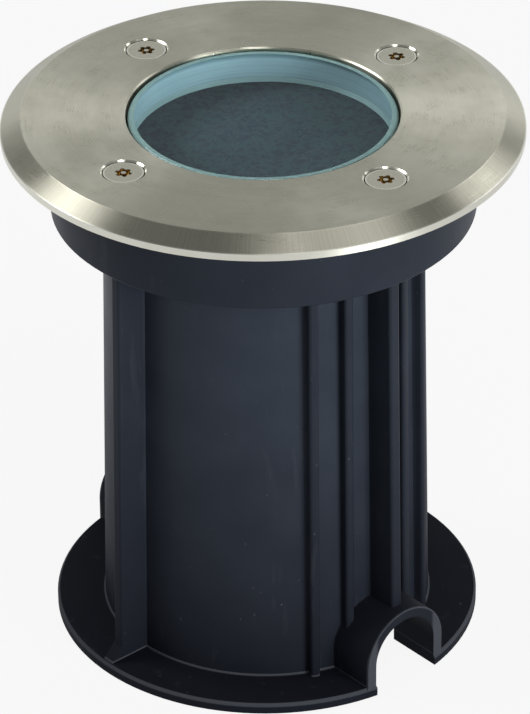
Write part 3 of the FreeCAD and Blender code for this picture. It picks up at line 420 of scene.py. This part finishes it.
def screw_steel():
    """Turned screw heads: lines round each of the four screws, a painted highlight on the rim, and painted
    shade with painted golden glints down in the socket.
    """
    finish, tree, shader = new_finish("Screw Steel", Metallic=1.0)
    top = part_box("bezel_screws")[1].z * MM_PER_M
    from_screw = use(tree, SCREWS, Screw_Circle=SCREW_CIRCLE).outputs["From Screw"]
    turning = add(tree, "ShaderNodeTexNoise", noise_dimensions="1D", Scale=9.0, Detail=1.0)
    feed(tree, from_screw, turning, "W")
    marks = use(tree, WORN, Blotch_Size=1.5)
    blotches = marks.outputs["Blotches"]
    tone = blend_colours(tree, spread(tree, turning.outputs["Fac"]), (0.60, 0.59, 0.49), (0.74, 0.73, 0.61))
    tone = blend_colours(tree, times(tree, blotches, 0.25), tone, (0.50, 0.49, 0.40))
    # a painted highlight round the rim of each head
    painted_rim_highlight = ramp(tree, from_screw, SCREW_HEAD - 0.45, SCREW_HEAD - 0.30)
    tone = blend_colours(tree, painted_rim_highlight, tone, (0.92, 0.91, 0.80))
    up = times(tree, object_place(tree)[1].outputs["Z"], MM_PER_M)
    below_face = times(tree, ramp(tree, up, top - 0.1, top - 0.4),
                       ramp(tree, up, top - SOCKET_DEPTH - 0.2, top - SOCKET_DEPTH + 0.2))
    # painted shade down in the socket, with painted golden glints where the scratch noise is high
    in_socket = times(tree, below_face, ramp(tree, from_screw, SOCKET_RADIUS + 0.1, SOCKET_RADIUS - 0.1))
    painted_glints = ramp(tree, marks.outputs["Scratches"], 0.38, 0.55)
    socket_shade_and_glints = blend_colours(tree, painted_glints, (0.10, 0.08, 0.045), (0.85, 0.66, 0.32))
    feed(tree, blend_colours(tree, in_socket, tone, socket_shade_and_glints), shader, "Base Color")
    feed(tree, spread(tree, blotches, 0.22, 0.32), shader, "Roughness")
    raise_by(tree, turning.outputs["Fac"], shader, 0.2, 0.00001)
    return finish


def lens_glass():
    """Clear toughened glass that lets the lamps through.

    It hardly bends the view, so that the disc under it reads in its place. Its gloss is in the coat."""
    finish, tree, shader = new_finish("Lens Glass", Transmission_Weight=1.0, IOR=1.03, Coat_Weight=0.4,
                                      Coat_IOR=1.5, Coat_Roughness=0.03)
    cloud = use(tree, SKIN, Grain_Size=2.0, Cloud_Size=20.0).outputs["Cloud"]
    feed(tree, blend_colours(tree, cloud, (0.80, 0.92, 0.93), (0.84, 0.94, 0.95)), shader, "Base Color")
    feed(tree, spread(tree, cloud, 0.02, 0.05), shader, "Roughness")
    clear = add(tree, "ShaderNodeBsdfTransparent", Color=(0.84, 0.95, 0.96, 1.0))
    show_either(tree, add(tree, "ShaderNodeLightPath").outputs["Is Shadow Ray"], shader, clear)
    return finish


def ground_glass():
    """The ground edge of the glass: pale blue, greener at its foot and top, with a dark line near the top."""
    finish, tree, shader = new_finish("Ground Glass Edge", Specular_IOR_Level=0.3)
    foot, top = (corner.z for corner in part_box("glass_lens"))
    up = object_place(tree)[1].outputs["Z"]
    skin = use(tree, SKIN, Grain_Size=0.25, Cloud_Size=7.0)
    wall = blend_colours(tree, skin.outputs["Cloud"], (0.205, 0.325, 0.375), (0.265, 0.395, 0.445))
    layers = add(tree, "ShaderNodeTexNoise", noise_dimensions="1D", Scale=1400.0, Detail=2.0)
    feed(tree, up, layers, "W")
    layered = ramp(tree, layers.outputs["Fac"], 0.4, 0.65, 0.0, 0.45)
    wall = blend_colours(tree, layered, wall, (0.19, 0.28, 0.31))
    for start, full, colour in (
            (foot + 0.0016, foot + 0.0008, (0.165, 0.255, 0.265)),
            (top - 0.0020, top - 0.0012, (0.105, 0.205, 0.235)),
            (top - 0.0007, top - 0.0005, (0.17, 0.25, 0.245))):
        wall = blend_colours(tree, ramp(tree, up, start, full), wall, colour)
    feed(tree, wall, shader, "Base Color")
    feed(tree, spread(tree, skin.outputs["Grain"], 0.5, 0.65), shader, "Roughness")
    raise_by(tree, skin.outputs["Grain"], shader, 0.25, 0.00003)
    return finish


def smoked_disc():
    """Dark sheet under the glass, mottled and finely speckled."""
    finish, tree, shader = new_finish("Smoked Disc", Specular_IOR_Level=0.15)
    place = add(tree, "ShaderNodeTexCoord").outputs["Object"]
    speckle = add(tree, "ShaderNodeTexNoise", Scale=2600.0, Detail=2.0, Roughness=0.7)
    mottle = add(tree, "ShaderNodeTexNoise", Scale=750.0, Detail=2.0, Roughness=0.6)
    for noise in (speckle, mottle):
        feed(tree, place, noise, "Vector")
    cloud = use(tree, SKIN, Cloud_Size=30.0).outputs["Cloud"]
    base = blend_colours(tree, cloud, (0.120, 0.124, 0.158), (0.152, 0.172, 0.200))
    greener = ramp(tree, mottle.outputs["Fac"], 0.40, 0.60)
    base = blend_colours(tree, greener, base, (0.132, 0.176, 0.188))
    darker = ramp(tree, mottle.outputs["Fac"], 0.52, 0.35, 0.0, 0.7)
    base = blend_colours(tree, darker, base, (0.095, 0.098, 0.135))
    dots = ramp(tree, speckle.outputs["Fac"], 0.5, 0.7, 0.0, 0.6)
    feed(tree, blend_colours(tree, dots, base, (0.20, 0.25, 0.29)), shader, "Base Color")
    feed(tree, spread(tree, speckle.outputs["Fac"], 0.45, 0.6), shader, "Roughness")
    raise_by(tree, speckle.outputs["Fac"], shader, 0.15, 0.00002)
    return finish


# ---------------------------------------------------------------- finishes inside

def rubber(name, dark, light):
    """Matt rubber with a dusty bloom."""
    finish, tree, shader = new_finish(name, Specular_IOR_Level=0.35)
    skin = use(tree, SKIN, Grain_Size=0.2, Cloud_Size=5.0)
    bloom = maths(tree, "ADD", times(tree, skin.outputs["Cloud"], 0.7),
                  times(tree, skin.outputs["Scuff"], 0.3))
    feed(tree, blend_colours(tree, bloom, dark, light), shader, "Base Color")
    feed(tree, spread(tree, skin.outputs["Cloud"], 0.62, 0.75), shader, "Roughness")
    raise_by(tree, skin.outputs["Grain"], shader, 0.3, 0.00003)
    return finish


def small_metal(name, dark, light, low, high, blotch_size=4.0):
    """Plated, turned or pressed metal of the small parts, with roughness from low to high."""
    finish, tree, shader = new_finish(name, Metallic=1.0)
    marks = use(tree, WORN, Blotch_Size=blotch_size)
    tone = blend_colours(tree, spread(tree, marks.outputs["Blotches"]), dark, light)
    feed(tree, tone, shader, "Base Color")
    feed(tree, spread(tree, marks.outputs["Scratches"], low, high), shader, "Roughness")
    raise_by(tree, marks.outputs["Scratches"], shader, 0.12, 0.00001)
    return finish


def spun_reflector():
    """The lamp's spun aluminium reflector, with rings from the spinning tool."""
    finish, tree, shader = new_finish("Spun Reflector", Metallic=1.0, Anisotropic=0.4)
    rings = add(tree, "ShaderNodeTexNoise", noise_dimensions="1D", Scale=3200.0, Detail=1.0)
    feed(tree, object_place(tree)[1].outputs["Z"], rings, "W")
    tone = blend_colours(tree, spread(tree, rings.outputs["Fac"]), (0.60, 0.61, 0.62), (0.76, 0.77, 0.78))
    feed(tree, tone, shader, "Base Color")
    marks = use(tree, WORN, Blotch_Size=8.0)
    feed(tree, spread(tree, marks.outputs["Blotches"], 0.20, 0.30), shader, "Roughness")
    feed(tree, add(tree, "ShaderNodeTangent", direction_type="RADIAL", axis="Z"), shader, "Tangent")
    raise_by(tree, rings.outputs["Fac"], shader, 0.2, 0.00002)
    return finish


def fired_ceramic(name, dark, light, roughness):
    """Unglazed ceramic: pores and a slightly uneven tone."""
    finish, tree, shader = new_finish(name, Specular_IOR_Level=0.45)
    skin = use(tree, SKIN, Grain_Size=0.25, Cloud_Size=6.0)
    tone = blend_colours(tree, spread(tree, skin.outputs["Cloud"]), dark, light)
    feed(tree, tone, shader, "Base Color")
    feed(tree, spread(tree, skin.outputs["Grain"], roughness - 0.05, roughness + 0.08), shader, "Roughness")
    raise_by(tree, skin.outputs["Grain"], shader, 0.3, 0.00004)
    return finish


def lamp_glass():
    """The lamp's front lens, lightly frosted."""
    finish, tree, shader = new_finish("Lamp Front Glass", Transmission_Weight=1.0, IOR=1.45)
    skin = use(tree, SKIN, Grain_Size=0.6, Cloud_Size=8.0)
    tone = blend_colours(tree, skin.outputs["Cloud"], (0.90, 0.93, 0.93), (0.95, 0.97, 0.97))
    feed(tree, tone, shader, "Base Color")
    feed(tree, spread(tree, skin.outputs["Grain"], 0.18, 0.28), shader, "Roughness")
    raise_by(tree, skin.outputs["Grain"], shader, 0.3, 0.00004)
    return finish


def phosphor():
    """The emitter's yellow phosphor under its clear dome."""
    finish, tree, shader = new_finish("Emitter Phosphor", Coat_Weight=0.6, Coat_Roughness=0.08)
    skin = use(tree, SKIN, Grain_Size=0.3, Cloud_Size=2.5)
    tone = blend_colours(tree, skin.outputs["Cloud"], (0.80, 0.60, 0.10), (0.90, 0.74, 0.20))
    feed(tree, tone, shader, "Base Color")
    feed(tree, spread(tree, skin.outputs["Grain"], 0.4, 0.55), shader, "Roughness")
    return finish


# ---------------------------------------------------------------- a finish for every solid

finish_nodes(sleeve_plastic(), "ground_sleeve")
finish_nodes(moulded_plastic("Housing Plastic", (0.020, 0.022, 0.026), (0.027, 0.029, 0.034), 0.42),
             "lamp_housing")
finish_nodes(moulded_plastic("Gland Nylon", (0.028, 0.028, 0.030), (0.038, 0.038, 0.040), 0.38, 0.2),
             "gland_body", "gland_locknut", "gland_clamp_nut")
finish_nodes(moulded_plastic("Terminal Block Plastic", (0.74, 0.73, 0.69), (0.82, 0.81, 0.78), 0.45, 0.2),
             "terminal_block")
finish_nodes(moulded_plastic("Emitter Board Face", (0.80, 0.80, 0.77), (0.88, 0.88, 0.86), 0.40, 0.3),
             "lamp_board")
finish_nodes(bezel_steel(), "bezel_ring")
finish_nodes(screw_steel(), "bezel_screws")
finish_nodes(lens_glass(), "glass_lens")
finish_nodes(smoked_disc(), "smoked_disc")
finish_nodes(rubber("Gasket Rubber", (0.018, 0.018, 0.019), (0.040, 0.040, 0.041)),
             "upper_gasket", "lower_gasket", "gland_washer", "gland_grommet")
finish_nodes(rubber("Lead Sleeving", (0.66, 0.62, 0.52), (0.76, 0.72, 0.62)), "lampholder_leads")
finish_nodes(small_metal("Insert Brass", (0.62, 0.45, 0.19), (0.76, 0.58, 0.28), 0.22, 0.38),
             "threaded_inserts")
finish_nodes(small_metal("Contact Brass", (0.60, 0.48, 0.24), (0.74, 0.62, 0.36), 0.20, 0.34, 3.0),
             "lampholder_contacts", "terminal_clamps")
finish_nodes(small_metal("Bracket Steel", (0.50, 0.51, 0.52), (0.64, 0.65, 0.66), 0.26, 0.40, 6.0),
             "holder_bracket")
finish_nodes(small_metal("Fixing Steel", (0.54, 0.54, 0.53), (0.70, 0.70, 0.69), 0.18, 0.32, 1.5),
             "bracket_screws", "lampholder_screws", "terminal_clamp_screws", "terminal_block_screws")
finish_nodes(small_metal("Lamp Pin Metal", (0.60, 0.58, 0.53), (0.74, 0.72, 0.68), 0.16, 0.28, 2.0),
             "lamp_pins")
finish_nodes(spun_reflector(), "lamp_reflector")
finish_nodes(fired_ceramic("Holder Steatite", (0.68, 0.64, 0.56), (0.78, 0.75, 0.68), 0.55), "lampholder")
finish_nodes(fired_ceramic("Lamp Base Ceramic", (0.74, 0.72, 0.67), (0.84, 0.83, 0.79), 0.42), "lamp_base")
finish_nodes(lamp_glass(), "lamp_front_lens")
finish_nodes(phosphor(), "lamp_emitter")


# ---------------------------------------------------------------- the ground edge of the glass

def put_in_scene(name, data):
    """A new object with that data, linked into the scene."""
    thing = bpy.data.objects.new(name, data)
    bpy.context.scene.collection.objects.link(thing)
    return thing


def turned_ring(name, profile, steps=256):
    """A closed profile of (radius, height) points, in mm, turned once round the Z axis."""
    points, faces, count = [], [], len(profile)
    for step in range(steps):
        turn = 2 * math.pi * step / steps
        points += [(radius / MM_PER_M * math.cos(turn), radius / MM_PER_M * math.sin(turn), up / MM_PER_M)
                   for radius, up in profile]
        here, there = step * count, (step + 1) % steps * count
        faces += [(here + at, there + at, there + (at + 1) % count, here + (at + 1) % count)
                  for at in range(count)]
    mesh = bpy.data.meshes.new(name)
    mesh.from_pydata(points, [], faces)
    mesh.shade_smooth()
    mesh.set_sharp_from_angle(angle=math.radians(30.0))
    return put_in_scene(name, mesh)


# radius of the glass's side wall inside the bezel's opening, in mm
GLASS_WALL = 28.4


def glass_edge():
    """A thin skin just inside the side wall and top edge of the glass, which are ground and not polished."""
    foot, top = (corner.z * MM_PER_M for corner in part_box("glass_lens"))
    outside = [(GLASS_WALL - 0.12, foot + 0.10), (GLASS_WALL - 0.12, top - 0.40),
               (GLASS_WALL - 0.42, top - 0.10), (GLASS_WALL - 1.45, top - 0.10)]
    inside = [(GLASS_WALL - 0.40, top - 0.60), (GLASS_WALL - 0.40, foot + 1.00),
              (GLASS_WALL - 1.10, foot + 0.10)]
    ring = turned_ring("glass_ground_edge", outside + inside)
    ring.data.materials.append(ground_glass())
    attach(ring, "bezel")


glass_edge()


# ---------------------------------------------------------------- floor, lamps and camera

# the camera: how far round from the view along +Y and how high it stands, what it looks at, how far off it is
# in metres, its focal length in mm and its slight roll
VIEW_TURN = math.radians(49.0)
VIEW_RISE = math.radians(31.55)
VIEW_AIM = Vector((0.0, 0.0, 0.061))
VIEW_REACH = 1.002
VIEW_LENS = 234.45
VIEW_ROLL = math.radians(-0.47)
TO_CAMERA = Vector((math.sin(VIEW_TURN), -math.cos(VIEW_TURN), 0.0))
TO_RIGHT = Vector((math.cos(VIEW_TURN), math.sin(VIEW_TURN), 0.0))


def studio_white():
    """The floor and the wall: nearly white to the camera and in mirrors, so shadows show only faintly."""
    finish, tree, shader = new_finish("Studio White", Base_Color=(0.50, 0.50, 0.50, 1.0), Roughness=0.9)
    path = add(tree, "ShaderNodeLightPath")
    mirrored = maths(tree, "MAXIMUM", path.outputs["Is Glossy Ray"], path.outputs["Is Transmission Ray"])
    seen = maths(tree, "MAXIMUM", path.outputs["Is Camera Ray"], times(tree, mirrored, 0.8))
    glow = add(tree, "ShaderNodeEmission", Color=(1.0, 1.0, 1.0, 1.0), Strength=1.0)
    show_either(tree, times(tree, seen, 0.90), shader, glow)
    return finish


def studio_room(radius=4.0, height=1.0, below=0.0001, steps=96):
    """A wide round floor just under the light, with a low wall all round it."""
    turns = [2 * math.pi * step / steps for step in range(steps)]
    rim = [(radius * math.cos(turn), radius * math.sin(turn)) for turn in turns]
    points = [(x, y, -below) for x, y in rim] + [(x, y, height) for x, y in rim]
    walls = [(step, step + steps, (step + 1) % steps + steps, (step + 1) % steps) for step in range(steps)]
    mesh = bpy.data.meshes.new("studio_room")
    mesh.from_pydata(points, [], [tuple(range(steps))] + walls)
    mesh.materials.append(studio_white())
    room = put_in_scene("studio_room", mesh)


def studio_air(level):
    """Even grey all round: the soft fill light, and what the steel and the glass show above the wall."""
    world = bpy.data.worlds.new("studio_air")
    bpy.context.scene.world = world
    world.use_nodes = True
    air = world.node_tree.nodes["Background"]
    air.inputs["Color"].default_value = (level, level, level, 1.0)


def softbox(name, place, size, watts, aim_height):
    """A rectangular lamp that faces a point on the Z axis."""
    data = bpy.data.lights.new(name, "AREA")
    data.shape = "RECTANGLE"
    data.size, data.size_y = size
    data.energy = watts
    lamp = put_in_scene(name, data)
    right, back, up = place
    lamp.location = TO_RIGHT * right - TO_CAMERA * back + Vector((0.0, 0.0, up))
    facing = lamp.location - Vector((0.0, 0.0, aim_height))
    lamp.rotation_euler = facing.to_track_quat("Z", "Y").to_euler()


def photo_camera():
    """The camera at the photograph's angle."""
    data = bpy.data.cameras.new("photo_camera")
    data.lens = VIEW_LENS
    data.sensor_width = 36.0
    data.clip_start = 0.05
    camera = put_in_scene("photo_camera", data)
    away = TO_CAMERA * math.cos(VIEW_RISE) + Vector((0.0, 0.0, math.sin(VIEW_RISE)))
    turn = away.to_track_quat("Z", "Y").to_matrix().to_4x4() @ Matrix.Rotation(VIEW_ROLL, 4, "Z")
    camera.matrix_world = Matrix.Translation(VIEW_AIM + away * VIEW_REACH) @ turn
    bpy.context.scene.camera = camera


# each lamp: how far right of, behind and above the middle of the base it stands as the camera sees it, its
# width and height, its watts, and the height of the point that it faces
LAMPS = (
    ("key_right_front", (0.97, -1.03, 0.34), (0.6, 0.5), 19.0, 0.10),
    ("front_high", (0.10, -0.66, 1.15), (0.3, 0.3), 1.5, 0.08),
    ("back_wide", (0.0, 1.20, 0.75), (1.5, 0.8), 1.00, 0.12),
    ("back_left", (-0.40, 1.12, 0.60), (0.35, 0.35), 0.32, 0.12),
    ("back_right", (0.40, 1.12, 0.60), (0.35, 0.35), 0.72, 0.12),
    ("overhead_right", (0.38, 0.05, 1.36), (0.6, 0.6), 1.1, 0.12),
    ("right_high", (0.90, 0.66, 0.88), (0.55, 0.55), 1.7, 0.12),
    ("left_high", (-1.00, 0.22, 0.80), (0.6, 0.6), 6.5, 0.12),
)

studio_room()
studio_air(0.22)
for lamp in LAMPS:
    softbox(*lamp)
photo_camera()
bpy.context.scene.view_settings.view_transform = "Standard"
